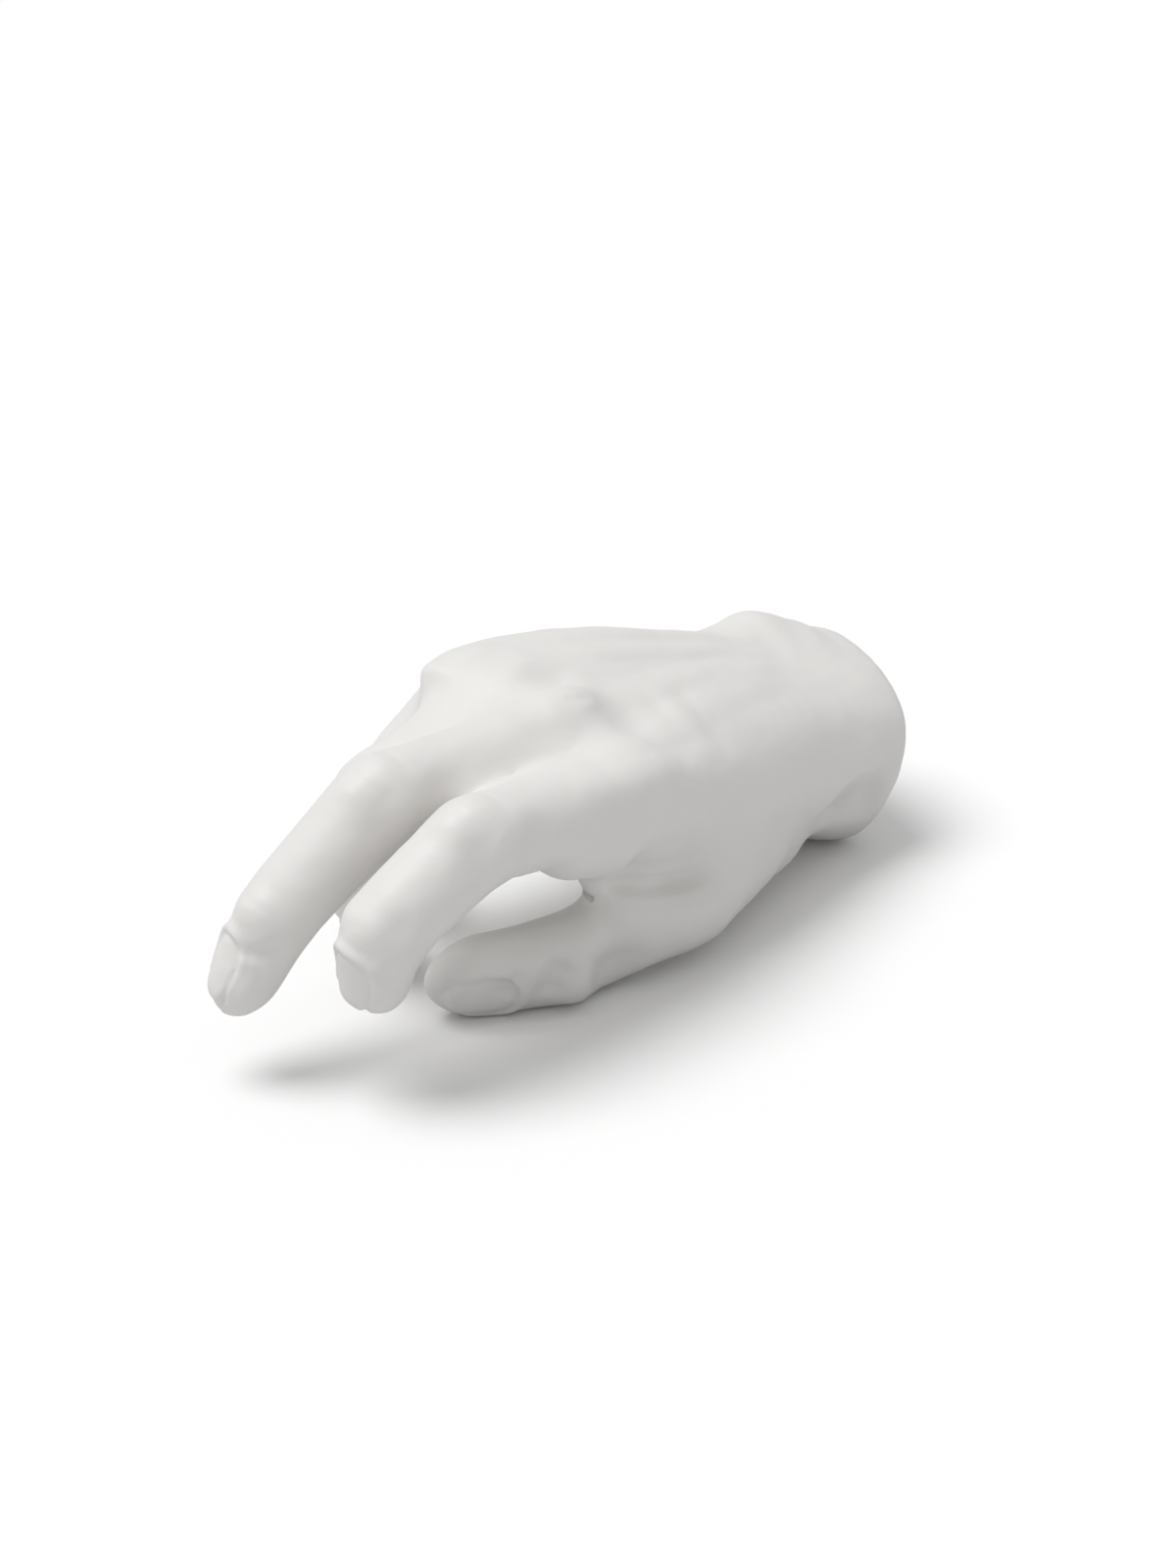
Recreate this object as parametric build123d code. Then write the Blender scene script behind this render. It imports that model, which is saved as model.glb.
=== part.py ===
from build123d import *
import os
from dataclasses import dataclass
from math import acos, atan2, cos, degrees, radians, sin, tan
from typing import Callable

# A life-size right hand in matt white porcelain, lying palm down on its thumb, its little fingertip and
# the heel of its wrist. It is slip cast in hollow pieces: a palm with the wrist, five digits and an end
# plate. Each piece plugs into the next with a short spigot and is luted there with a bed of clay slip,
# which fires to the same porcelain. Nothing moves.
#
# The forms are laid out in the hand's own frame: +X runs from the wrist to the fingers, +Y towards the
# thumb and +Z out of the back of the hand, with the origin in the middle of the wrist. At the end the
# whole hand is settled on its three feet, with the fingers towards -X and the thumb towards -Y.

# Castings
WALL = 4.0  # porcelain wall of the palm and the thumb
FINGER_WALL = 3.0  # porcelain wall of the four fingers
SLIP = 0.8  # thickness of the luting slip between two pieces
SPIGOT_LENGTH = 6.0  # how far a spigot reaches past its slip bed into the next piece
SPIGOT_WALL = 2.0  # wall of a spigot
SPIGOT_CLEARANCE = 0.4  # gap round a spigot in its socket
COLLAR_LENGTH = 4.0  # solid collar inside a digit that carries its spigot
SEAT_DEPTH = 0.9  # how much is ground off each foot so that the hand doesn't rock

# Wrist
WRIST_END = -18.0  # where the palm casting ends
END_PLATE_THICKNESS = 9.0
END_PLATE_ROUNDING = 6.0  # fillet round the end plate's rim
VENT_DIAMETER = 6.0  # hole that lets the air out in the kiln

# Sections of the palm and wrist, each an oval across the hand: place along the hand, how far it reaches
# to the thumb side, to the back, to the little finger's side and to the palm, and how far it is turned
# about the upright, because the wrist leaves the hand at a slant and is cut square to itself.
PALM_SECTIONS = (
    (WRIST_END, 30.5, 24.0, 31.0, 23.0, 22),
    (WRIST_END + 12, 29.5, 23.0, 30.5, 21.5, 13),
    (7.0, 29.0, 21.0, 31.0, 20.0, 6),
    (22.0, 31.0, 20.0, 33.5, 21.0, 0),
    (41.0, 33.5, 19.0, 38.0, 20.0, 0),
    (60.0, 34.5, 17.0, 41.0, 16.0, 0),
    (80.0, 34.0, 13.0, 41.0, 13.5, 0),
    (97.0, 28.0, 6.5, 35.0, 9.5, 0),
)
PALM_SQUARENESS = 2.5  # 2 is an ellipse, more is boxier

# Rounded masses that fill out the palm: centre, and reach along the hand, across it and through it.
HEEL_MASS = ((28.0, -23.0, -11.0), (34.0, 15.0, 15.0))
BALL_MASS = ((38.0, 20.0, -15.0), (32.0, 13.0, 14.0))
THUMB_WEB_MASS = ((66.0, 26.0, -15.0), (30.0, 10.0, 13.0))
ULNA_MASS = ((-3.0, -15.0, 10.0), (19.0, 14.0, 13.5))
WEB_MASSES = (
    ((97.0, 14.0, -5.0), (14.0, 7.0, 9.0)),
    ((93.0, -7.0, -5.0), (13.0, 7.0, 9.0)),
    ((84.0, -26.0, -8.0), (13.0, 7.0, 8.0)),
)


@dataclass
class Finger:
    """One finger: where its knuckle is, its bones, how it bends, and how broad and deep it is.

    The breadths and depths are those at the knuckle, the middle joint, the end joint and the nail."""

    name: str
    knuckle: tuple
    bones: tuple
    bends: tuple
    spread: float
    breadths: tuple
    depths: tuple


INDEX = Finger("index", knuckle=(90, 25, 0), bones=(45, 29, 19.5), bends=(11, 40, 58), spread=-2,
               breadths=(25, 21.5, 20, 17.5), depths=(24.5, 20.5, 19.5, 15))
MIDDLE = Finger("middle", knuckle=(90, 3, 2.5), bones=(49, 32, 27), bends=(19, 41, 21), spread=-7,
                breadths=(25, 21.5, 19.5, 17.5), depths=(24.5, 20.5, 17.5, 14))
RING = Finger("ring", knuckle=(83, -17.5, 0), bones=(40, 27, 26), bends=(33, 76, 27), spread=-3,
              breadths=(24, 20, 17.5, 16), depths=(23.5, 19, 15.5, 13))
LITTLE = Finger("little", knuckle=(75, -34, -3), bones=(36, 22, 25), bends=(58, 74, 22), spread=-9,
                breadths=(20.5, 17, 15, 14), depths=(20, 16, 13.5, 11.5))
FINGERS = (INDEX, MIDDLE, RING, LITTLE)
FINGER_JOINT = 0.6  # share of the first bone at which a finger is luted on
ROOT_LENGTH = 20.0  # how far a finger's form starts inside the palm
ROOT_SHARE = 0.85  # a finger's breadth and depth at its root, as a share of those at its knuckle
# Waists between the joints: share along the bone, share of the breadth and share of the depth there.
FIRST_BONE_WAIST = ((0.3, 0.95, 0.92), (FINGER_JOINT, 0.94, 0.92))
SECOND_BONE_WAIST = ((0.5, 0.97, 0.98),)

# The thumb: its base, its three bones, the way each points (towards the thumb side, towards the back), the
# way its nail faces, and its breadth and depth at marks along it, counted in bones from its base.
THUMB_BASE = (14.0, 18.0, -9.0)
THUMB_BONES = (48.0, 34.0, 33.0)
THUMB_TURNS = ((17, -19), (-8, -27), (-35, -28))
THUMB_NAIL_FACES = (0.40, 0.85, -0.35)
THUMB_JOINT = 0.8  # share of the second bone at which the thumb is luted on
THUMB_SIZES = (
    (0.0, 19, 17),
    (0.45, 24, 22),
    (1.0, 23.5, 22),
    (1.45, 21, 19.5),
    (1.0 + THUMB_JOINT, 21.5, 19.5),
    (2.0, 23, 20),
    (2.4, 23, 17.5),
    (3.0, 22.5, 15.5),
)

# Feet: the piece, and a point near the place where it touches the floor.
FEET = (
    ("thumb_shell", (86, 29, -50)),
    ("little_shell", (62, -30, -60)),
    ("wrist_end_plate", (WRIST_END, 12, -22)),
)
SETTLING_ROUNDS = 5
GRINDING_BLOCK = 20.0  # depth of the block that takes the ground feet away

# Digits in general
NAIL_STATION = 0.55  # share of the end bone at which a digit's rounded tip starts
ROUNDEST = 0.98  # a digit's section is never deeper than this share of its breadth
SECTION_STEP = 6.0  # spacing of the sections that a digit is lofted through
BEND_SLACK = 3.0  # how far a digit's middle line stays clear of the inside of a bend
BEND_ROOM = 0.48  # share of a bone that the bend at one of its ends may take
END_BEND_ROOM = 0.9  # the same for a digit's first and last length, which bend at one end only
OVERRUN = 1.0  # how far a cutting form runs past what it cuts


def mix(a, b, share):
    """A value between two others."""
    return a + (b - a) * share


def ease(share):
    """A share from 0 to 1, with a soft start and end."""
    return share * share * (3 - 2 * share)


def oval(plane, reach, inset=0.0):
    """A face inside a curve through eight points, with its own reach to its right, top, left and bottom."""
    corner = 0.5 ** (1 / PALM_SQUARENESS)
    sides = [r - inset for r in reach]
    points = []
    for quarter in range(4):
        first, second = sides[quarter], sides[(quarter + 1) % 4]
        points.append(Vector(first, 0, 0).rotate(Axis.Z, 90 * quarter))
        points.append(Vector(first * corner, second * corner, 0).rotate(Axis.Z, 90 * quarter))
    return plane * make_face(Spline(*points, periodic=True))


class MiddleLine:
    """The middle line of a digit: straight along its legs, with an arc at each joint between two legs.

    A place on it is a mark: 1.25 is a quarter of the way along the second leg, from joint 1 to joint 2."""

    def __init__(self, joints, radii):
        legs = [b - a for a, b in zip(joints, joints[1:])]
        self.joints = joints
        self.lengths = [leg.length for leg in legs]
        self.ways = [leg.normalized() for leg in legs]
        self.bends = [0.0] + [acos(min(1.0, a.dot(b))) for a, b in zip(self.ways, self.ways[1:])] + [0.0]
        self.cuts = [0.0] * len(joints)
        rooms = [length * BEND_ROOM for length in self.lengths]
        rooms[0], rooms[-1] = self.lengths[0] * END_BEND_ROOM, self.lengths[-1] * END_BEND_ROOM
        for i, radius in enumerate(radii, start=1):
            self.cuts[i] = min(radius * tan(self.bends[i] / 2), rooms[i - 1], rooms[i])

    def rise(self, joint):
        """How far the arc at a joint passes inside the joint itself."""
        half = self.bends[joint] / 2
        return self.cuts[joint] / tan(half) * (1 / cos(half) - 1) if half else 0.0

    def at(self, mark):
        """The point at a mark, the way the line runs, and how near the mark is to a joint, from 0 to 1."""
        near = round(mark)
        leg = min(int(mark), len(self.lengths) - 1)
        off = (mark - near) * self.lengths[leg]
        cut = self.cuts[near]
        if abs(off) >= cut:
            along = (mark - leg) * self.lengths[leg]
            return self.joints[leg] + self.ways[leg] * along, self.ways[leg], 0.0
        before, after, bend = self.ways[near - 1], self.ways[near], self.bends[near]
        radius = cut / tan(bend / 2)
        turn = bend * (off + cut) / (2 * cut)
        inward = (after - before * cos(bend)) / sin(bend)
        start = self.joints[near] - before * cut
        point = start + before * (radius * sin(turn)) + inward * (radius * (1 - cos(turn)))
        return point, before * cos(turn) + inward * sin(turn), 1 - abs(off) / cut

    def even_marks(self, first, last, step):
        """Marks at even steps from one mark to another."""
        places = [sum(self.lengths[:int(m)]) + (m % 1) * self.lengths[min(int(m), len(self.lengths) - 1)]
                  for m in (first, last)]
        count = max(2, round((places[1] - places[0]) / step))
        marks = []
        for i in range(count + 1):
            leg, along = 0, mix(*places, i / count)
            while leg < len(self.lengths) - 1 and along > self.lengths[leg]:
                along -= self.lengths[leg]
                leg += 1
            marks.append(leg + min(along / self.lengths[leg], 1.0))
        return marks


@dataclass
class Station:
    """One section of a digit: its plane, with its length along Z and its back along Y, and its size."""

    plane: Plane
    breadth: float
    depth: float

    def face(self, inset=0.0, ahead=0.0):
        """Its outline, inset and moved ahead along the digit."""
        return self.plane.offset(ahead) * Ellipse(self.breadth / 2 - inset, self.depth / 2 - inset)

    def block(self, inset, start, end):
        """A straight length of this section, from one place along the digit to another."""
        return extrude(self.face(inset, start), amount=end - start)


@dataclass
class Digit:
    """A digit: its middle line, the way its back faces where it runs a given way, its breadth and depth at
    marks, the mark of its luting joint, the length of its rounded tip, and its wall."""

    line: MiddleLine
    back_of: Callable
    sizes: tuple
    joint_mark: float
    tip_length: float
    wall: float

    def station(self, mark):
        """The section at a mark. At a bend it is deeper towards the back, which makes the knuckle."""
        ahead = next(i for i in range(1, len(self.sizes)) if self.sizes[i][0] >= mark - 1e-9)
        (mark0, breadth0, depth0), (mark1, breadth1, depth1) = self.sizes[ahead - 1], self.sizes[ahead]
        share = ease((mark - mark0) / (mark1 - mark0))
        at, way, near = self.line.at(mark)
        back = self.back_of(way)
        rise = self.line.rise(round(mark)) * ease(near)
        plane = Plane(origin=at + back * (rise / 2), x_dir=back.cross(way), z_dir=way)
        breadth, depth = mix(breadth0, breadth1, share), mix(depth0, depth1, share) + rise
        return Station(plane, breadth, min(depth, breadth * ROUNDEST))

    @property
    def joint(self):
        """The section at which it is luted on."""
        return self.station(self.joint_mark)

    def length_between(self, first, last, inset):
        """The digit's solid between two marks, inset by a wall."""
        faces = [self.station(mark).face(inset) for mark in self.line.even_marks(first, last, SECTION_STEP)]
        lengths = [loft(ends, ruled=True) for ends in zip(faces, faces[1:])]
        return lengths[0].fuse(*lengths[1:])

    def root(self, inset=0.0):
        """The root that belongs to the palm, up to the slip bed of the luting joint."""
        room_for_slip = self.joint.block(-self.joint.breadth, -SLIP, OVERRUN)
        return self.length_between(0.0, self.joint_mark, inset) - room_for_slip

    def outer_end(self, inset=0.0):
        """All of the digit past its luting joint, with its rounded tip."""
        last = self.station(len(self.line.lengths))
        reach = (last.breadth / 2 - inset, last.depth / 2 - inset, self.tip_length - inset)
        half_ball = Sphere(1, arc_size1=0, align=(Align.CENTER, Align.CENTER, Align.MIN))
        tip = last.plane * scale(half_ball, by=reach)
        return self.length_between(self.joint_mark, len(self.line.lengths), inset) + tip


def make_finger(finger):
    """A finger as a digit, from a root inside the palm to its tip."""
    lean = radians(finger.spread)
    across = Vector(-sin(lean), cos(lean), 0)
    knuckle = Vector(*finger.knuckle)
    joints, bend = [knuckle - Vector(ROOT_LENGTH, 0, 0), knuckle], 0
    for bone, turn in zip(finger.bones, finger.bends):
        bend += radians(turn)
        way = Vector(cos(bend) * cos(lean), cos(bend) * sin(lean), -sin(bend))
        joints.append(joints[-1] + way * bone)
    joints[-1] = mix(joints[-2], joints[-1], NAIL_STATION)
    broad, deep = finger.breadths, finger.depths
    sizes = [(0.0, broad[0] * ROOT_SHARE, deep[0] * ROOT_SHARE)]
    for joint, waist in enumerate((FIRST_BONE_WAIST, SECOND_BONE_WAIST, ())):
        sizes.append((joint + 1.0, broad[joint], deep[joint]))
        for share, wide, thick in waist:
            breadth = mix(broad[joint], broad[joint + 1], share) * wide
            depth = mix(deep[joint], deep[joint + 1], share) * thick
            sizes.append((joint + 1 + share, breadth, depth))
    sizes.append((4.0, broad[3], deep[3]))
    line = MiddleLine(joints, [depth / 2 + BEND_SLACK for depth in deep[:3]])
    tip_length = finger.bones[2] * (1 - NAIL_STATION)
    return Digit(line, lambda way: way.cross(across), tuple(sizes), 1 + FINGER_JOINT, tip_length, FINGER_WALL)


def make_thumb():
    """The thumb as a digit, from its base beside the wrist to its tip."""
    nail = Vector(*THUMB_NAIL_FACES)
    joints = [Vector(*THUMB_BASE)]
    for bone, (aside, up) in zip(THUMB_BONES, THUMB_TURNS):
        aside, up = radians(aside), radians(up)
        joints.append(joints[-1] + Vector(cos(up) * cos(aside), cos(up) * sin(aside), sin(up)) * bone)
    joints[-1] = mix(joints[-2], joints[-1], NAIL_STATION)
    depths = [depth for mark, _, depth in THUMB_SIZES if mark in (1.0, 2.0)]
    line = MiddleLine(joints, [depth / 2 + BEND_SLACK for depth in depths])
    tip_length = THUMB_BONES[2] * (1 - NAIL_STATION)
    return Digit(line, lambda way: (nail - way * nail.dot(way)).normalized(), THUMB_SIZES, 1 + THUMB_JOINT,
                 tip_length, WALL)


def digit_casting(digit):
    """A digit as it is cast: hollow from a collar to its tip, with a spigot at its root."""
    joint, wall = digit.joint, digit.wall
    collar = joint.block(-joint.breadth, -OVERRUN, COLLAR_LENGTH)
    hollow = digit.outer_end(wall) - collar
    plugged = SLIP + SPIGOT_LENGTH
    spigot = joint.block(wall, -plugged, COLLAR_LENGTH / 2)
    bore = joint.block(wall + SPIGOT_WALL, -plugged - OVERRUN, COLLAR_LENGTH + OVERRUN)
    return digit.outer_end() + spigot - hollow - bore


def slip_bed(digit):
    """The bed of slip between a digit and the palm, round the spigot."""
    hole = digit.joint.block(digit.wall - SPIGOT_CLEARANCE, -SLIP - OVERRUN, OVERRUN)
    return digit.joint.block(0, -SLIP, 0) - hole


def palm_plane(row):
    """The plane of one section of the palm and wrist, with the hand's length along Z."""
    place, *_, turn = row
    return Plane(origin=(place, 0, 0), x_dir=(0, 1, 0), z_dir=(1, 0, 0)).rotated((0, 0, -turn))


def palm_face(row, inset=0.0, ahead=0.0):
    """One section of the palm and wrist, inset and moved ahead along the hand."""
    _, *reach, _ = row
    return oval(palm_plane(row).offset(ahead), reach, inset)


def palm_form(inset=0.0):
    """The outside of the palm and wrist, or their hollow where it is inset by the wall."""
    return loft([palm_face(row, inset) for row in PALM_SECTIONS])


def mass(centre, reach, inset=0.0):
    """A rounded mass of flesh, as a stretched ball."""
    return Pos(*centre) * scale(Sphere(1), by=tuple(r - inset for r in reach))


def palm_casting(digits):
    """The palm as it is cast: hollow, open at the wrist, with a socket for each digit's spigot."""
    masses = (HEEL_MASS, BALL_MASS, THUMB_WEB_MASS, ULNA_MASS, *WEB_MASSES)
    outside = [palm_form()] + [mass(*m) for m in masses]
    mouth = palm_face(PALM_SECTIONS[0], WALL - SPIGOT_CLEARANCE, -OVERRUN)
    inside = [palm_form(WALL), extrude(mouth, amount=SPIGOT_LENGTH + 2 * OVERRUN)]
    inside += [mass(*m, WALL) for m in (HEEL_MASS, BALL_MASS)]
    socket_depth = SLIP + SPIGOT_LENGTH + OVERRUN
    for digit in digits:
        outside.append(digit.root())
        inside.append(digit.root(digit.wall))
        inside.append(digit.joint.block(digit.wall - SPIGOT_CLEARANCE, -socket_depth, 0))
    body = outside[0].fuse(*outside[1:])
    hollow = inside[0].fuse(*inside[1:])
    return body - hollow


def end_plate():
    """The plate that closes the wrist, with a rounded rim, a lip that plugs into the wrist, and a vent."""
    wrist = PALM_SECTIONS[0]
    plate = extrude(palm_face(wrist, 0, -SLIP), amount=-END_PLATE_THICKNESS)
    rim = plate.edges().group_by(Axis.X)[0]
    plate = fillet(rim, min(END_PLATE_ROUNDING, END_PLATE_THICKNESS - 1))
    lip_length = SLIP + SPIGOT_LENGTH + OVERRUN
    lip = extrude(palm_face(wrist, WALL, -SLIP - OVERRUN), amount=lip_length)
    lip -= extrude(palm_face(wrist, WALL + SPIGOT_WALL, -SLIP), amount=lip_length)
    vent = palm_plane(wrist) * Cylinder(VENT_DIAMETER / 2, 4 * END_PLATE_THICKNESS)
    return plate + lip - vent


def wrist_slip():
    """The bed of slip between the end plate and the wrist, round the lip."""
    wrist = PALM_SECTIONS[0]
    bed = extrude(palm_face(wrist, 0, -SLIP), amount=SLIP)
    hole = palm_face(wrist, WALL - SPIGOT_CLEARANCE, -SLIP - OVERRUN)
    return bed - extrude(hole, amount=SLIP + 2 * OVERRUN)


def make_digits():
    """The five digits by name, thumb first."""
    return {"thumb": make_thumb()} | {finger.name: make_finger(finger) for finger in FINGERS}


def settle(feet):
    """The placement that stands the hand on its feet, with the fingers towards -X and the floor at Z = 0.

    Each foot is a solid and a point near where it should touch. The plane under the three lowest places is
    found again from each new placement, because a rounded foot rolls a little as the hand tilts."""
    points = [Vector(*point) for _, point in feet]
    placement = Location()
    for _ in range(SETTLING_ROUNDS):
        normal = (points[1] - points[0]).cross(points[2] - points[0]).normalized()
        floor = Plane(origin=points[0], z_dir=normal if normal.Z > 0 else -normal)
        placement = floor.location.inverse() * placement
        points = []
        for solid, point in feet:
            at = (placement * Pos(*point)).position
            points.append(Vector(at.X, at.Y, solid.moved(placement).bounding_box().min.Z))
    ahead = (placement * Pos(1, 0, 0)).position - placement.position
    turn = 180 - degrees(atan2(ahead.Y, ahead.X))
    lowest = max(point.Z for point in points)
    return Pos(0, 0, -lowest - SEAT_DEPTH) * Rot(0, 0, turn) * placement


def make_nodes():
    """Every piece of the hand by its name, in the hand's own frame."""
    digits = make_digits()
    nodes = {"palm_shell": palm_casting(digits.values())}
    for name, digit in digits.items():
        nodes[f"{name}_shell"] = digit_casting(digit)
        nodes[f"{name}_slip_joint"] = slip_bed(digit)
    nodes["wrist_end_plate"] = end_plate()
    nodes["wrist_slip_joint"] = wrist_slip()
    return nodes


def stand(nodes):
    """The same pieces standing on the floor, centred over the origin, with their feet ground flat."""
    feet = [(nodes[name], point) for name, point in FEET]
    placement = settle(feet)
    stood = {name: node.moved(placement) for name, node in nodes.items()}
    boxes = [node.bounding_box() for node in stood.values()]
    low_x, high_x = min(b.min.X for b in boxes), max(b.max.X for b in boxes)
    low_y, high_y = min(b.min.Y for b in boxes), max(b.max.Y for b in boxes)
    middle = Pos(-(low_x + high_x) / 2, -(low_y + high_y) / 2, 0)
    long, wide = 2 * (high_x - low_x), 2 * (high_y - low_y)
    below = Box(long, wide, GRINDING_BLOCK, align=(Align.CENTER, Align.CENTER, Align.MAX))
    stood = {name: node.moved(middle) for name, node in stood.items()}
    return {name: node - below if node.bounding_box().min.Z < 0 else node for name, node in stood.items()}


os.makedirs("parts", exist_ok=True)
for name, node in stand(make_nodes()).items():
    export_step(node, f"parts/{name}.step")
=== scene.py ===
"""The look of a life-size porcelain hand: its cast pieces get one sculpted skin, cut again at the joints."""
import math
from dataclasses import dataclass

import bmesh
import bpy
import numpy as np
from bpy.props import FloatProperty, FloatVectorProperty, IntProperty, PointerProperty
from mathutils import Matrix, Vector, noise
from mathutils.bvhtree import BVHTree


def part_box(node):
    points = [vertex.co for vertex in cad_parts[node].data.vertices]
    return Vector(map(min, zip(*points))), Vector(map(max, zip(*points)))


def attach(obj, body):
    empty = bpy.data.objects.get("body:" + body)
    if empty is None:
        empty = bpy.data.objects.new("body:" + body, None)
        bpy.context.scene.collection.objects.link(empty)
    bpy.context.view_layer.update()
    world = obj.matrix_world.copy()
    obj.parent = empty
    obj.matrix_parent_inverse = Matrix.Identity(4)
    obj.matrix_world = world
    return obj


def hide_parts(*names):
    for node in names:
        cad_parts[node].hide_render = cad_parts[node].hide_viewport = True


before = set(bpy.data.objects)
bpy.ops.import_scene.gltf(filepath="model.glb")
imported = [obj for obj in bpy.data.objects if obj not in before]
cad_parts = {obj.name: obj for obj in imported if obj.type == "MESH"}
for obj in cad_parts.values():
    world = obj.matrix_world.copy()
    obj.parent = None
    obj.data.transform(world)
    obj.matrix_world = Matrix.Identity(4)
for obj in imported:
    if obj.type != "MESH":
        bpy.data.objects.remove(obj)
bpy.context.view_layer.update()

bl_info = {
    "name": "Porcelain Hand",
    "version": (1, 0, 0),
    "blender": (4, 5, 0),
    "location": "View3D > Sidebar > Hand",
    "description": "Sculpts the skin of a cast porcelain hand and sets it on a studio floor",
    "category": "Object",
}

MM = 0.001

# Camera: where it stands and looks, in millimetres, how far it leans, and its view of a picture 1200 by 1600
CAMERA_PLACE = (-628.6, -530.8, 377.2)
CAMERA_TARGET = (9.8, 2.2, 33.0)
CAMERA_ROLL = -3.54
CAMERA_LENS = 87.9
SENSOR = 36.0
PICTURE = (1200, 1600)
NEAREST = 0.01  # how near and how far the camera sees, in metres
FARTHEST = 20.0

# Stage: the way to the large lamp, half the floor's width in metres, and the floor's finish
KEY_FROM = (-0.22, 0.30, 1.0)
FLOOR_HALF = 4.0
FLOOR_ROUGHNESS = 0.9
FLOOR_SHINE = 0.1

# Fired body: its fine grain and its mottling, and the shade painted into its hollows
GRAIN_SCALE = 1300.0
GRAIN_DETAIL = 4.0
GRAIN_DEPTH = 0.12 * MM
MOTTLE_SCALE = 55.0
MOTTLE_DETAIL = 3.0
MOTTLE_RANGE = {"From Min": 0.3, "From Max": 0.7, "To Min": 0.955, "To Max": 1.0}
ROUGHNESS_RANGE = {"From Min": 0.3, "From Max": 0.7, "To Min": 0.62, "To Max": 0.80}
# Painted shade: the skin's colour is darkened in its hollows, more where they lie deeper
PAINTED_SHADE_ROUNDS = 24  # how wide the surroundings are that a hollow is measured against
PAINTED_SHADE_DEPTH = 1.2  # depth at which a hollow has its full tint, in millimetres

# Skin: how far each round of a filter moves its points, as a share of the way to their neighbours' average
FILL_STEP = 0.7
SMOOTH_STEP = 0.5
PUSH_BACK = 0.53
RELAX_STEP = 0.6
WIDE_STEP = 0.8
NORMALS_EVERY = 5  # rounds of filling between two looks at the normals
CLOSING_SMOOTHING = 3  # rounds of smoothing after the closing, after the masses and after the details
MASS_SMOOTHING = 2
DETAIL_SMOOTHING = 1
UNEVENNESS = ((1.0, 11.0), (0.45, 4.5))  # share of the height, and size of the marks in millimetres

# Skin: places that are evened out, and how far round them, in millimetres
LUTED_AT = 0.6  # share of a finger's first bone at which it is luted on
KNUCKLE_REACH = 24.0
ULNA = (-3.0, -15.0, 22.0)  # the bump of the ulna, in the hand's own frame
RIM_STEP = 16  # every so many points of the slip bed at the wrist
RIM_REACH = 18.0

# Luting joints and vent, in millimetres
JOINT_ROOM = 4.0  # how far the skin may stand out from a luting joint
JOINT_DEPTH = 4.0  # how far to each side of its plane a luting joint decides which piece the skin belongs to
VENT_PLUG = 3.8  # radius of the ball that closes the vent before the skin is made
VENT_RADIUS = 3.0
VENT_DEPTH = 6.0
VENT_EDGE = 0.8  # width of the vent's rounded rim
WELD = 1e-7  # points nearer than this are one, in metres

# Strokes: how they are laid on the skin
PALM_VIEW = -34.0  # how far under the hand the palm is seen from
BACK_VIEW = 60.0  # how far over the hand its back is seen from
DIGIT_REACH = 22.0  # how far from its bone a digit's skin may lie
JOINT_SHARE = 0.12  # share of a bone next to a joint where the back faces halfway between two bones
PATH_STEPS = 8  # legs of a path from one of its spots to the next
DOT = 0.01  # length of a stroke at a single spot
TINY = 1e-9  # the least that a leg's length squared is taken for
FACING = 0.6  # how far the skin has to face a stroke to take all of it

# Nails: the radius they are laid round, as a share of their breadth, and how far from the bone their skin
# may lie, as a share of that radius
NAIL_RADIUS = 0.7
NAIL_REACH = 1.5
NAIL_ROOT_ROUNDING = 0.85  # how round a nail's ends are, as a share of its half breadth
NAIL_TIP_ROUNDING = 0.7
NAIL_FRONT_START = 0.3  # where its free end starts and over how much it comes, as shares of its half length
NAIL_FRONT_RISE = 0.5

# Heights of a nail's parts in millimetres, how far outside its edge they lie, and how wide they are
NAIL_PLATE = 0.15
NAIL_PLATE_WIDTH = 1.5
NAIL_GROOVE = 0.42
NAIL_GROOVE_WIDTH = 0.6
NAIL_GROOVE_LOSS = 0.5  # share of the groove that is lost at the free end
NAIL_FOLD = 0.4
NAIL_ROOT_FOLD = 0.45
NAIL_FOLD_PLACE = 1.2
NAIL_FOLD_WIDTH = 1.3
NAIL_EDGE = 0.35
NAIL_EDGE_PLACE = 0.3
NAIL_EDGE_WIDTH = 0.7
NAIL_UNDERCUT = 0.45
NAIL_UNDERCUT_PLACE = 1.1
NAIL_UNDERCUT_WIDTH = 0.9

# The hand's own frame: +X from the wrist to the fingers, +Y to the thumb, +Z out of the back of the hand.
# Its origin is the middle of the wrist. The fingers rise over the wrist, and the hand leans on its thumb.
HAND_ORIGIN = (65.8, -9.95, 28.4)
HAND_RISE = 17.75
HAND_LEAN = 18.33


@dataclass
class Finger:
    """The bones of a finger: its knuckle, their lengths and bends, and how far it spreads.

    Its nail has a breadth, and a place: how far past the end joint it starts, its length and its turn."""

    name: str
    knuckle: tuple
    bones: tuple
    bends: tuple
    spread: float
    nail: float
    nail_place: tuple


FINGERS = (
    Finger("index", (90, 25, 0), (45, 29, 19.5), (11, 40, 58), -2, 12.5, (3.0, 15.0, 0)),
    Finger("middle", (90, 3, 2.5), (49, 32, 27), (19, 41, 21), -7, 13.5, (9.8, 15.2, 16)),
    Finger("ring", (83, -17.5, 0), (40, 27, 26), (33, 76, 27), -3, 11.5, (10.5, 13.0, 0)),
    Finger("little", (75, -34, -3), (36, 22, 25), (58, 74, 22), -9, 9.5, (11.0, 11.5, 0)),
)
THUMB_BASE = (14.0, 18.0, -9.0)
THUMB_BONES = (48.0, 34.0, 33.0)
THUMB_TURNS = ((17, -19), (-8, -27), (-35, -28))
THUMB_NAIL_FACES = (0.40, 0.85, -0.35)
THUMB_NAIL = 14.5
THUMB_NAIL_PLACE = (13.5, 16.0, 0)


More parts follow.
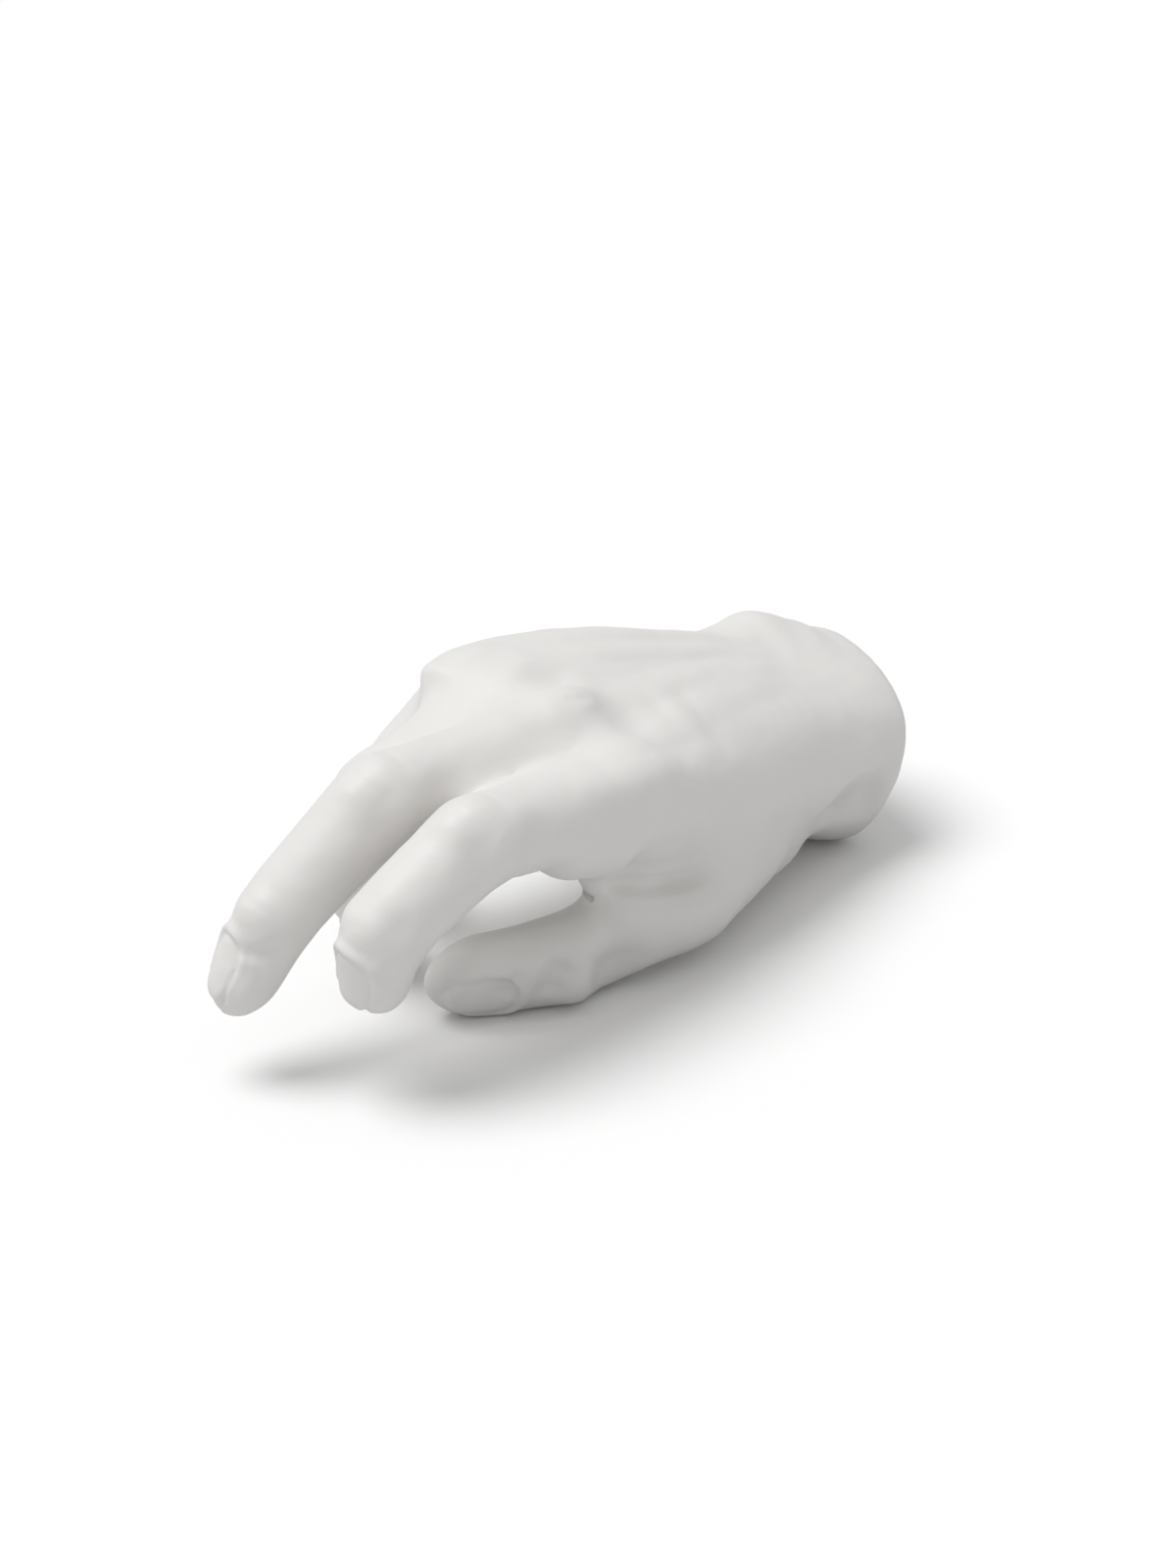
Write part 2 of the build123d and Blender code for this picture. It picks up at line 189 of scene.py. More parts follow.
@dataclass
class Stroke:
    """A stroke of the modelling tool: its places, and its width and height in millimetres.

    Under 0 it carves. A soft stroke is round, and a hard one is a fine line. It fades at each end over a
    share of its length."""

    places: tuple
    width: float
    height: float
    soft: float = 1.0
    taper: float = 0.3


# Strokes where the picture shows them, in its pixels: first the back of the hand
KNUCKLE_INDEX = Stroke(((647, 767),), 15, 1.6)
KNUCKLE_MIDDLE = Stroke(((590, 716),), 15, 1.6)
KNUCKLE_RING = Stroke(((528, 684),), 12, 1.6)
KNUCKLE_LITTLE = Stroke(((488, 666),), 10, 1.0)
HOLLOW_INDEX_MIDDLE = Stroke(((632, 731),), 12, -1.3)
HOLLOW_MIDDLE_RING = Stroke(((561, 695),), 9, -1.0)
HOLLOW_RING_LITTLE = Stroke(((508, 673),), 7, -0.6)
KNUCKLE_CREASE = Stroke(((576, 709), (590, 713), (604, 712)), 2.2, -0.3, soft=0.7)
VEIN = Stroke(((660, 697), (680, 712), (700, 733), (720, 756), (730, 784)), 6, 0.6)
VEIN_SHADE = Stroke(((673, 693), (694, 709), (714, 731), (735, 755), (745, 784)), 7, -0.15)
SIDE_EDGE = Stroke(((556, 800), (605, 804), (640, 806), (685, 791), (731, 782), (775, 786)), 8, 0.9)
SIDE_FLAT = Stroke(((600, 828), (650, 832), (700, 822)), 12, -0.9)
SIDE_MUSCLE = Stroke(((762, 836),), 22, 1.5)
THUMB_FOLD_PATH = ((603, 905), (645, 904), (690, 900), (742, 884))
THUMB_FOLD = Stroke(THUMB_FOLD_PATH, 8, -2.6, taper=0.35)
THUMB_FOLD_LINE = Stroke(THUMB_FOLD_PATH, 3.4, -2.4, soft=0.6)
THUMB_FOLD_LEFT = Stroke(((632, 893),), 10, -1.4)
THUMB_FOLD_RIGHT = Stroke(((700, 888),), 10, -1.4)
THUMB_ROLL = Stroke(((610, 932), (660, 927), (715, 908)), 13, 1.6)
WRIST_FOLD = Stroke(((834, 848), (858, 826), (885, 812), (906, 806)), 10, -2.6)
WRIST_ROLL = Stroke(((822, 828), (848, 806), (880, 792), (905, 788)), 11, 1.0)

# The fingers and the thumb in the picture
MIDDLE_SIDE_HOLLOW = Stroke(((388, 842),), 9, -0.9)
MIDDLE_HOOD = Stroke(((258, 938),), 9, 1.2)
MIDDLE_HOOD_LINE = Stroke(((240, 950), (247, 966), (259, 973), (276, 969), (294, 948)), 3, -0.7, soft=0.7)
MIDDLE_NAIL_RIDGE = Stroke(((249, 972), (253, 987), (250, 1008), (245, 1028)), 3, 0.5)
MIDDLE_TIP_HOLLOW = Stroke(((272, 985),), 6, -0.7)
INDEX_SIDE_HOLLOW = Stroke(((491, 880),), 8, -1.0)
INDEX_JOINT_BUMP = Stroke(((462, 838),), 8, 0.7)
INDEX_TIP_HOLLOW = Stroke(((405, 955),), 6, -0.8)
INDEX_NAIL_RIDGE = Stroke(((380, 978), (386, 996), (381, 1016)), 3, 0.4)
THUMB_CREASE = Stroke(((556, 1020), (563, 1006), (570, 992), (582, 978)), 5, -1.7, soft=0.8)
THUMB_NAIL_HOLLOW = Stroke(((514, 994), (521, 1008), (513, 1020)), 5, -1.5, soft=0.8)
THUMB_UNDER_HOLLOW = Stroke(((630, 990),), 12, -3.8)
THUMB_BUMP = Stroke(((540, 998),), 8, 0.9)
THUMB_UNDER_BUMP = Stroke(((590, 1012),), 8, 1.2)

# The picture's strokes in the order in which they are made
KNUCKLE_STROKES = (KNUCKLE_INDEX, KNUCKLE_MIDDLE, KNUCKLE_RING, KNUCKLE_LITTLE,
                   HOLLOW_INDEX_MIDDLE, HOLLOW_MIDDLE_RING, HOLLOW_RING_LITTLE)
SIDE_STROKES = (SIDE_EDGE, SIDE_FLAT, SIDE_MUSCLE, THUMB_FOLD, THUMB_ROLL)
WEB_STROKES = (THUMB_FOLD_LEFT, THUMB_FOLD_RIGHT)
WRIST_STROKES = (WRIST_FOLD, WRIST_ROLL)
DIGIT_STROKES = (MIDDLE_SIDE_HOLLOW, INDEX_SIDE_HOLLOW, INDEX_JOINT_BUMP, INDEX_TIP_HOLLOW, MIDDLE_HOOD,
                 MIDDLE_TIP_HOLLOW, THUMB_BUMP, THUMB_UNDER_HOLLOW, THUMB_UNDER_BUMP)
FINE_STROKES = (MIDDLE_HOOD_LINE, MIDDLE_NAIL_RIDGE, INDEX_NAIL_RIDGE, THUMB_CREASE, THUMB_NAIL_HOLLOW,
                KNUCKLE_CREASE, VEIN, VEIN_SHADE, THUMB_FOLD_LINE)

# Strokes at places along and across the hand, in millimetres: the dome of the wrist and the tendons of the
# back, then the lines of the palm and of the wrist
ULNA_DOME = Stroke(((6, -17), (-7, -14), (-19, -9)), 22, 1.5)
TENDONS = (
    Stroke(((76, -28), (50, -20), (22, -13), (2, -9)), 5.5, 0.8),
    Stroke(((82, -16), (55, -11), (27, -7), (6, -5)), 5.5, 0.7),
    Stroke(((84, 4), (55, 3), (27, 1), (8, 0)), 6.5, 0.7),
    Stroke(((82, 22), (58, 14), (32, 8), (12, 5)), 7.0, 0.6),
)
PALM_LINES = (
    Stroke(((73, 9), (66, 6), (56, 3), (38, 2), (24, 6)), 2.6, -0.8, soft=0.6),
    Stroke(((76, 5), (71, -2), (64, -14), (54, -28)), 2.6, -0.8, soft=0.6),
    Stroke(((68, -34), (76, -22), (83, -8), (87, 4)), 2.6, -0.8, soft=0.6),
    Stroke(((4, -20), (1, -4), (3, 12)), 2.2, -0.5, soft=0.6),
    Stroke(((-4, -18), (-7, -4), (-5, 10)), 2.2, -0.5, soft=0.6),
)

# Strokes round a digit, each at a mark along it and at angles from its back: joints, their hollows and pads
FINGER_FORMS = (
    (1.0, Stroke((0,), 8, 0.8)),
    (2.0, Stroke((0,), 6.5, 0.7)),
    (1.0, Stroke((-78,), 7, 0.5)),
    (0.8, Stroke((-62,), 7, -0.5)),
    (2.25, Stroke((-70,), 5, -0.35)),
    (1.0, Stroke((78,), 7, 0.5)),
    (0.8, Stroke((62,), 7, -0.5)),
    (2.25, Stroke((70,), 5, -0.35)),
    (0.55, Stroke((180,), 9, 0.8)),
    (1.5, Stroke((180,), 8, 0.8)),
    (2.55, Stroke((180,), 8, 0.9)),
)
THUMB_PAD = (2.6, Stroke((180,), 10, 1.2))

# Wrinkles over a finger's joints, and the creases on their inner side
OVER_JOINT = (-38, -14, 14, 38)
INSIDE_JOINT = (115, 150, 180, 210, 245)
FINGER_LINES = (
    (0.94, Stroke(OVER_JOINT, 2.0, -0.16, soft=0.7)),
    (1.0, Stroke(OVER_JOINT, 2.0, -0.22, soft=0.7)),
    (1.06, Stroke(OVER_JOINT, 2.0, -0.16, soft=0.7)),
    (2.0, Stroke(OVER_JOINT, 2.0, -0.16, soft=0.7)),
    (1.0, Stroke(INSIDE_JOINT, 2.4, -0.7, soft=0.6)),
    (2.0, Stroke(INSIDE_JOINT, 2.4, -0.7, soft=0.6)),
)

# The full pad under the index finger's first bone: marks along it, and its angle from the finger's back
INDEX_PAD = Stroke((0.02, 0.3, 0.6), 13, 4.0)
INDEX_PAD_ANGLE = 150


class SkinSettings(bpy.types.PropertyGroup):
    """How the cast pieces are blended into one skin."""

    grain: FloatProperty(name="Grain", description="Spacing of the first skin's points", unit="LENGTH",
                         default=1.35 * MM)
    closing: FloatProperty(name="Closing", description="Half the width of the gaps that are filled",
                           unit="LENGTH", default=0.6 * MM)
    fill_rounds: IntProperty(name="Fill rounds", description="How often hollow corners are filled",
                             default=95)
    unevenness: FloatProperty(name="Unevenness", description="Height of the marks left by the modeller",
                              unit="LENGTH", default=0.22 * MM)
    relax_rounds: IntProperty(name="Relax rounds", description="How often the knuckles are evened out",
                              default=20)
    smooth_rounds: IntProperty(name="Smooth rounds", description="How often the skin is smoothed",
                               default=16)


class PorcelainSettings(bpy.types.PropertyGroup):
    """The finish of the fired, unglazed porcelain, and the shade painted into its hollows."""

    colour: FloatVectorProperty(name="Colour", description="Colour of the fired body", subtype="COLOR",
                                size=3, default=(0.80, 0.777, 0.748))
    # Painted shade: a darker colour painted into creases and hollows, where shade falls
    hollow_colour: FloatVectorProperty(name="Hollow colour", description="Colour in creases and hollows",
                                       subtype="COLOR", size=3, default=(0.70, 0.677, 0.648))
    grain_strength: FloatProperty(name="Grain strength", description="How much the fine grain shows",
                                  default=0.25)


class StageSettings(bpy.types.PropertyGroup):
    """The floor and the light."""

    floor_colour: FloatVectorProperty(name="Floor colour", description="Colour of the floor",
                                      subtype="COLOR", size=3, default=(0.97, 0.97, 0.97))
    bounce_colour: FloatVectorProperty(name="Bounce colour", description="Colour of the floor for the hand",
                                       subtype="COLOR", size=3, default=(0.70, 0.70, 0.70))
    key_strength: FloatProperty(name="Key strength", description="Light of the large soft lamp",
                                default=1.75)
    key_softness: FloatProperty(name="Key softness", description="How large the lamp looks from the hand",
                                default=math.radians(40), unit="ROTATION")
    world_strength: FloatProperty(name="World strength", description="Light from all round", default=0.52)


def unit(vector):
    """A vector of length 1."""
    return vector / np.linalg.norm(vector)


def ease(share):
    """A share held between 0 and 1, with a soft start and end."""
    share = np.clip(share, 0, 1)
    return share * share * (3 - 2 * share)


def bell(gap):
    """A soft bell of height 1, about 1 wide to each side."""
    return np.exp(-gap * gap)


def turned(vector, axis, degrees):
    """A vector turned about a square axis."""
    angle = math.radians(degrees)
    return vector * math.cos(angle) + np.cross(axis, vector) * math.sin(angle)


def hand_axes():
    """The hand's own axes: ahead to the fingers, aside to the thumb, and out of the back."""
    rise, lean = math.radians(HAND_RISE), math.radians(HAND_LEAN)
    ahead = np.array((-math.cos(rise), 0, math.sin(rise)))
    level = np.array((0, -1.0, 0))
    above = np.cross(ahead, level)
    return np.stack((ahead, level * math.cos(lean) - above * math.sin(lean),
                     above * math.cos(lean) + level * math.sin(lean)), -1)


def in_hand(point):
    """A point of the hand's own frame, in the row frame."""
    return np.array(HAND_ORIGIN) + hand_axes() @ np.array(point, float)


class Digit:
    """A digit's joints from its root to its tip, the way its back faces along each bone, and its nail."""

    def __init__(self, joints, backs, nail, nail_place):
        self.joints = [in_hand(joint) for joint in joints]
        self.backs = [unit(hand_axes() @ np.array(back, float)) for back in backs]
        self.nail = nail
        self.nail_place = nail_place

    def at(self, mark):
        """The point, the way and the back at a mark: 2.5 is halfway from joint 2 to joint 3."""
        bone = min(int(mark), len(self.joints) - 2)
        start, end = self.joints[bone], self.joints[bone + 1]
        near = round(mark)
        back, way = self.backs[bone], unit(end - start)
        if 0 < near < len(self.backs) and abs(mark - near) < JOINT_SHARE:
            back = unit(self.backs[near - 1] + self.backs[near])
        back = unit(back - way * (back @ way))
        return start + (end - start) * (mark - bone), way, back


def finger_digit(finger):
    """A finger, from its knuckle as joint 0 to its tip as joint 3."""
    lean, bend = math.radians(finger.spread), 0
    across = np.array((-math.sin(lean), math.cos(lean), 0))
    joints, backs = [np.array(finger.knuckle, float)], []
    for bone, turn in zip(finger.bones, finger.bends):
        bend += math.radians(turn)
        way = np.array((math.cos(bend) * math.cos(lean), math.cos(bend) * math.sin(lean), -math.sin(bend)))
        joints.append(joints[-1] + way * bone)
        backs.append(np.cross(way, across))
    return Digit(joints, backs, finger.nail, finger.nail_place)


def thumb_digit():
    """The thumb, from its base as joint 0 to its tip as joint 3."""
    faces = np.array(THUMB_NAIL_FACES)
    joints, backs = [np.array(THUMB_BASE)], []
    for bone, (aside, up) in zip(THUMB_BONES, THUMB_TURNS):
        aside, up = math.radians(aside), math.radians(up)
        way = np.array((math.cos(up) * math.cos(aside), math.cos(up) * math.sin(aside), math.sin(up)))
        joints.append(joints[-1] + way * bone)
        backs.append(faces - way * (faces @ way))
    return Digit(joints, backs, THUMB_NAIL, THUMB_NAIL_PLACE)


DIGITS = {"thumb": thumb_digit()} | {finger.name: finger_digit(finger) for finger in FINGERS}
PIECES = ("palm", *DIGITS, "wrist")


def ring_plane(node):
    """The middle of a flat ring of slip, its plane's normal and its reach, in millimetres."""
    points = np.array([v.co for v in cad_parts[node].data.vertices]) / MM
    middle = (points.min(0) + points.max(0)) / 2
    spread = points - points.mean(0)
    normal = np.linalg.eigh(spread.T @ spread)[1][:, 0]
    return middle, normal, np.linalg.norm(points - middle, axis=1).max()


def node_middle(node):
    """The middle of a node's box, in millimetres."""
    low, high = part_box(node)
    return (np.array(low) + np.array(high)) / 2 / MM


def joint_plane(ring, node):
    """A luting joint's middle, its normal towards a node, and its reach."""
    middle, normal, reach = ring_plane(ring)
    return middle, normal if normal @ (node_middle(node) - middle) > 0 else -normal, reach


def camera_axes():
    """The camera's place and its right, up and back, in millimetres."""
    place = np.array(CAMERA_PLACE)
    back = unit(place - np.array(CAMERA_TARGET))
    level = unit(np.cross((0, 0, 1), back))
    rise = np.cross(back, level)
    roll = math.radians(CAMERA_ROLL)
    right = level * math.cos(roll) + rise * math.sin(roll)
    return place, right, np.cross(back, right), back


class Skin:
    """A mesh as arrays, in millimetres, that is reshaped point by point."""

    def __init__(self, obj):
        self.mesh = obj.data
        count = len(self.mesh.vertices)
        points = np.empty(count * 3, np.float32)
        self.mesh.vertices.foreach_get("co", points)
        self.points = points.reshape(-1, 3).astype(float) / MM
        edges = np.empty(len(self.mesh.edges) * 2, np.int32)
        self.mesh.edges.foreach_get("vertices", edges)
        self.edges = edges.reshape(-1, 2)
        self.valence = np.bincount(self.edges.ravel(), minlength=count)

    def write(self):
        """Puts the points back into the mesh."""
        self.mesh.vertices.foreach_set("co", (self.points * MM).astype(np.float32).ravel())
        self.mesh.update()

    def normals(self):
        """Each point's normal."""
        self.write()
        normals = np.empty(len(self.points) * 3, np.float32)
        self.mesh.vertex_normals.foreach_get("vector", normals)
        return normals.reshape(-1, 3).astype(float)

    def average(self, values):
        """The average of each point's neighbours."""
        a, b = self.edges.T
        columns = []
        for column in values.reshape(len(values), -1).T:
            total = np.bincount(a, column[b], len(values)) + np.bincount(b, column[a], len(values))
            columns.append(total / self.valence)
        return np.stack(columns, -1).reshape(values.shape)

    def fill(self, rounds):
        """Fills hollow corners with a soft fillet and leaves the rest."""
        for i in range(rounds):
            normals = self.normals() if i % NORMALS_EVERY == 0 else normals
            pull = self.average(self.points) - self.points
            rise = np.clip((pull * normals).sum(1), 0, None)
            self.points += normals * (rise * FILL_STEP)[:, None]

    def smooth(self, rounds):
        """Smooths, pushing back after each round so that the form doesn't shrink."""
        for _ in range(rounds):
            self.points += (self.average(self.points) - self.points) * SMOOTH_STEP
            self.points -= (self.average(self.points) - self.points) * PUSH_BACK

    def relax(self, places, reach, rounds):
        """Evens the skin out round some places."""
        gaps = [np.linalg.norm(self.points - place, axis=1) for place in places]
        weight = RELAX_STEP * ease(2 - 2 * np.min(gaps, axis=0) / reach)[:, None]
        for _ in range(rounds):
            self.points += (self.average(self.points) - self.points) * weight

    def roughen(self, height):
        """Makes the skin as slightly uneven as a hand leaves it."""
        for share, size in UNEVENNESS:
            rises = np.array([noise.noise(Vector(point / size)) for point in self.points])
            self.points += self.normals() * (rises * share * height)[:, None]

    def hollowness(self, rounds):
        """How far each point lies under its wider surroundings, in millimetres."""
        wide = self.points
        for _ in range(rounds):
            wide = wide + (self.average(wide) - wide) * WIDE_STEP
        return ((wide - self.points) * self.normals()).sum(1)

    def tree(self):
        """A tree for casting rays at the skin."""
        self.write()
        polygons = [tuple(p.vertices) for p in self.mesh.polygons]
        return BVHTree.FromPolygons([Vector(p) for p in self.points], polygons)


class Modeller:
    """Places strokes on a skin and pushes it in or out along them."""

    def __init__(self, skin):
        self.skin = skin
        self.tree = skin.tree()
        self.normals = skin.normals()

    def cast(self, start, way, told):
        """The point of the skin that a ray meets, and the skin's normal there."""
        hit, normal, _, _ = self.tree.ray_cast(Vector(start), Vector(way))
        if hit is None:
            raise ValueError(f"a stroke misses the skin: {told}")
        return np.array(hit), np.array(normal)

    def seen(self, x, y):
        """The skin at a pixel of the picture."""
        place, right, up, back = camera_axes()
        focal = CAMERA_LENS / SENSOR * max(PICTURE)
        way = right * (x - PICTURE[0] / 2) + up * (PICTURE[1] / 2 - y) - back * focal
        return self.cast(place, unit(way), (x, y))

    def back(self, x, y):
        """The skin of the back, at a place along and across the hand."""
        return self.cast(in_hand((x, y, BACK_VIEW)), -hand_axes()[:, 2], (x, y))

    def palm(self, x, y):
        """The skin of the palm, at a place along and across the hand."""
        return self.cast(in_hand((x, y, PALM_VIEW)), hand_axes()[:, 2], (x, y))

    def around(self, digit, mark, angle):
        """The skin round a digit: at a mark along it and an angle from its back towards the thumb's side."""
        at, way, back = DIGITS[digit].at(mark)
        return self.cast(at, turned(back, way, -angle), (digit, mark, angle))

    def path(self, spots):
        """A smooth path of points and normals through spots on the skin."""
        points = np.array([spot[0] for spot in spots])
        normals = np.array([spot[1] for spot in spots])
        if len(points) == 1:
            return np.concatenate((points, points + (DOT, 0, 0))), np.repeat(normals, 2, 0)
        ends = np.concatenate((points[:1] * 2 - points[1:2], points, points[-1:] * 2 - points[-2:-1]))
        shares = np.arange(PATH_STEPS)[:, None] / PATH_STEPS
        runs, sides = [], []
        for i in range(len(points) - 1):
            a, b, c, d = ends[i:i + 4]
            runs.append(0.5 * (2 * b + (c - a) * shares + (2 * a - 5 * b + 4 * c - d) * shares ** 2
                               + (3 * b - a - 3 * c + d) * shares ** 3))
            sides.append(normals[i] + (normals[i + 1] - normals[i]) * shares)
        return np.concatenate((*runs, points[-1:])), np.concatenate((*sides, normals[-1:]))

    def draw(self, stroke):
        """A stroke at places of the picture."""
        self.push([self.seen(*place) for place in stroke.places], stroke)

    def draw_back(self, stroke):
        """A stroke at places of the hand's back."""
        self.push([self.back(*place) for place in stroke.places], stroke)

    def draw_palm(self, stroke):
        """A stroke at places of the palm."""
        self.push([self.palm(*place) for place in stroke.places], stroke)

    def wrap(self, digit, mark, stroke):
        """A stroke round a digit, at a mark along it and some angles, over the skin near its bone."""
        bone = DIGITS[digit].at(mark)[0]
        spots = [self.around(digit, mark, angle) for angle in stroke.places]
        spots = [spot for spot in spots if np.linalg.norm(spot[0] - bone) < DIGIT_REACH]
        if spots:
            self.push(spots, stroke)

    def nail(self, digit):
        """A nail: its plate, the groove round it, the fold over its root and sides, and its free edge."""
        bones = DIGITS[digit]
        root, length, turn = bones.nail_place
        radius = bones.nail * NAIL_RADIUS
        _, way, back = bones.at(2.5)
        back = turned(back, way, turn)
        off = self.skin.points - bones.joints[2]
        along, up, aside = off @ way, off @ back, off @ np.cross(way, back)
        close = (np.abs(along - root - length / 2) < length) & (up > 0)
        near = np.flatnonzero(close & (np.hypot(up, aside) < NAIL_REACH * radius))
        half_wide, half_long = bones.nail / 2, length / 2
        across = np.abs(np.arctan2(aside[near], up[near])) * radius
        ahead = along[near] - root - half_long
        corner = half_wide * np.where(ahead < 0, NAIL_ROOT_ROUNDING, NAIL_TIP_ROUNDING)
        beside, beyond = across - half_wide + corner, np.abs(ahead) - half_long + corner
        outside = np.hypot(np.clip(beside, 0, None), np.clip(beyond, 0, None))
        gap = outside + np.minimum(np.maximum(beside, beyond), 0) - corner
        front = ease((ahead / half_long - NAIL_FRONT_START) / NAIL_FRONT_RISE)
        root_end = ease(-ahead / half_long)
        fold_height = (NAIL_FOLD + NAIL_ROOT_FOLD * root_end) * (1 - front)
        fold = fold_height * bell((gap - NAIL_FOLD_PLACE) / NAIL_FOLD_WIDTH)
        groove = -NAIL_GROOVE * (1 - NAIL_GROOVE_LOSS * front) * bell(gap / NAIL_GROOVE_WIDTH)
        edge = NAIL_EDGE * ease((NAIL_EDGE_PLACE - gap) / NAIL_EDGE_WIDTH)
        undercut = NAIL_UNDERCUT * bell((gap - NAIL_UNDERCUT_PLACE) / NAIL_UNDERCUT_WIDTH)
        plate = NAIL_PLATE * ease(-gap / NAIL_PLATE_WIDTH)
        push = fold + groove + front * (edge - undercut) + plate
        self.skin.points[near] += self.normals[near] * push[:, None]

    def push(self, spots, stroke):
        """Raises or carves the skin along a path through spots on it."""
        path, sides = self.path(spots)
        points = self.skin.points
        inside = (points > path.min(0) - stroke.width) & (points < path.max(0) + stroke.width)
        near = np.flatnonzero(inside.all(1))
        legs = path[1:] - path[:-1]
        rel = points[near][:, None] - path[:-1]
        share = np.clip((rel * legs).sum(2) / np.maximum((legs * legs).sum(1), TINY), 0, 1)
        gaps = np.linalg.norm(rel - share[..., None] * legs, axis=2)
        leg = gaps.argmin(1)
        row = np.arange(len(near))
        along = (leg + share[row, leg]) / len(legs)
        gap = gaps[row, leg] / stroke.width
        facing = ease((self.normals[near] * sides[leg]).sum(1) / FACING)
        fade = ease(np.minimum(along, 1 - along) / stroke.taper) if len(spots) > 1 else 1.0
        round_shape = np.clip(1 - gap * gap, 0, 1) ** 2
        fine_shape = np.clip(1 - gap, 0, 1) ** 2
        shape = round_shape * stroke.soft + fine_shape * (1 - stroke.soft)
        rise = stroke.height * shape * facing * fade
        self.skin.points[near] += self.normals[near] * rise[:, None]


def remeshed(mesh, name, size):
    """A new object of the mesh's outside, as even squares."""
    obj = bpy.data.objects.new(name, mesh)
    bpy.context.scene.collection.objects.link(obj)
    modifier = obj.modifiers.new("even", "REMESH")
    modifier.mode = "VOXEL"
    modifier.voxel_size = size
    modifier.adaptivity = 0
    apply_modifiers(obj)
    keep_outside(obj)
    return obj


def apply_modifiers(obj):
    """Makes what the modifiers show the object's own mesh."""
    before = obj.data
    graph = bpy.context.evaluated_depsgraph_get()
    after = bpy.data.meshes.new_from_object(obj.evaluated_get(graph))
    obj.modifiers.clear()
    obj.data = after
    bpy.data.meshes.remove(before)


def keep_outside(obj):
    """Deletes every closed surface but the largest."""
    bm = bmesh.new()
    bm.from_mesh(obj.data)
    left, islands = set(bm.verts), []
    while left:
        found = {left.pop()}
        front = list(found)
        while front:
            near = {e.other_vert(v) for v in front for e in v.link_edges} & left
            left -= near
            found |= near
            front = list(near)
        islands.append(found)
    islands.sort(key=len)
    for island in islands[:-1]:
        bmesh.ops.delete(bm, geom=list(island), context="VERTS")
    bm.to_mesh(obj.data)
    bm.free()


def cast_outside():
    """The outside of all the cast pieces, with the vent plugged."""
    bm = bmesh.new()
    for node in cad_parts.values():
        bm.from_mesh(node.data)
    bmesh.ops.remove_doubles(bm, verts=bm.verts, dist=WELD)
    middle, out, _ = joint_plane("wrist_slip_joint", "wrist_end_plate")
    plug = bmesh.ops.create_icosphere(bm, subdivisions=3, radius=VENT_PLUG * MM)
    bmesh.ops.translate(bm, verts=plug["verts"], vec=Vector((middle + out * VENT_PLUG) * MM))
    mesh = bpy.data.meshes.new("hand_skin")
    bm.to_mesh(mesh)
    bm.free()
    return mesh


class HAND_OT_model_skin(bpy.types.Operator):
    """Blends the cast pieces into one skin and models its anatomy"""

    bl_idname = "porcelain_hand.model_skin"
    bl_label = "Model the skin"

    def execute(self, context):
        settings = context.scene.hand_skin
        obj = blended_skin(settings)
        skin = Skin(obj)
        modeller = Modeller(skin)
        model_masses(modeller)
        skin.smooth(MASS_SMOOTHING)
        skin.write()
        round_off = obj.modifiers.new("rounder", "SUBSURF")
        round_off.levels = round_off.render_levels = 1
        apply_modifiers(obj)
        skin = Skin(obj)
        model_details(Modeller(skin))
        skin.smooth(DETAIL_SMOOTHING)
        skin.roughen(settings.unevenness / MM)
        skin.points[:, 2] = np.clip(skin.points[:, 2], 0, None)
        skin.write()
        # Painted shade: how deep each point lies in a hollow, kept on the skin to darken its colour there
        hollow = obj.data.attributes.new("hollow", "FLOAT", "POINT")
        depth = skin.hollowness(PAINTED_SHADE_ROUNDS) / PAINTED_SHADE_DEPTH
        hollow.data.foreach_set("value", np.clip(depth, 0, 1).astype(np.float32))
        mark_pieces(obj)
        skin_material(context.scene.hand_porcelain)
        return {"FINISHED"}


def blended_skin(settings):
    """One even skin over the cast pieces, with soft fillets in its hollow corners."""
    obj = remeshed(cast_outside(), "hand_skin", settings.grain)
    skin = Skin(obj)
    skin.points += skin.normals() * (settings.closing / MM)
    skin.write()
    closed = obj.data
    bpy.data.objects.remove(obj)
    obj = remeshed(closed, "hand_skin", settings.grain)
    skin = Skin(obj)
    skin.smooth(CLOSING_SMOOTHING)
    skin.points -= skin.normals() * (settings.closing / MM)
    skin.fill(settings.fill_rounds)
    skin.smooth(settings.smooth_rounds)
    knuckles = [DIGITS[finger.name].joints[0] for finger in FINGERS]
    roots = [DIGITS[finger.name].at(LUTED_AT)[0] for finger in FINGERS]
    webs = [(a + b) / 2 for a, b in zip(roots, roots[1:])]
    skin.relax([*knuckles, *roots, *webs, in_hand(ULNA)], KNUCKLE_REACH, settings.relax_rounds)
    bed = [np.array(v.co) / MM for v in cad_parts["wrist_slip_joint"].data.vertices]
    skin.relax(bed[::RIM_STEP], RIM_REACH, settings.relax_rounds)
    skin.write()
    return obj


def model_masses(modeller):
    """Knuckles, tendons, muscles and pads."""
    model_back(modeller)
    model_wrist(modeller)
    for finger in FINGERS:
        for mark, stroke in FINGER_FORMS:
            modeller.wrap(finger.name, mark, stroke)
    for stroke in DIGIT_STROKES:
        modeller.draw(stroke)
    modeller.wrap("thumb", *THUMB_PAD)


def model_back(modeller):
    """The back of the hand: knuckles with hollows between them, tendons, and the side towards the thumb."""
    for stroke in KNUCKLE_STROKES:
        modeller.draw(stroke)
    for stroke in TENDONS:
        modeller.draw_back(stroke)
    for stroke in SIDE_STROKES:
        modeller.draw(stroke)
    pad = [modeller.around("index", mark, INDEX_PAD_ANGLE) for mark in INDEX_PAD.places]
    modeller.push(pad, INDEX_PAD)
    for stroke in WEB_STROKES:
        modeller.draw(stroke)


def model_wrist(modeller):
    """The wrist: the dome over the ulna, and the fold and roll over its heel."""
    modeller.draw_back(ULNA_DOME)
    for stroke in WRIST_STROKES:
        modeller.draw(stroke)


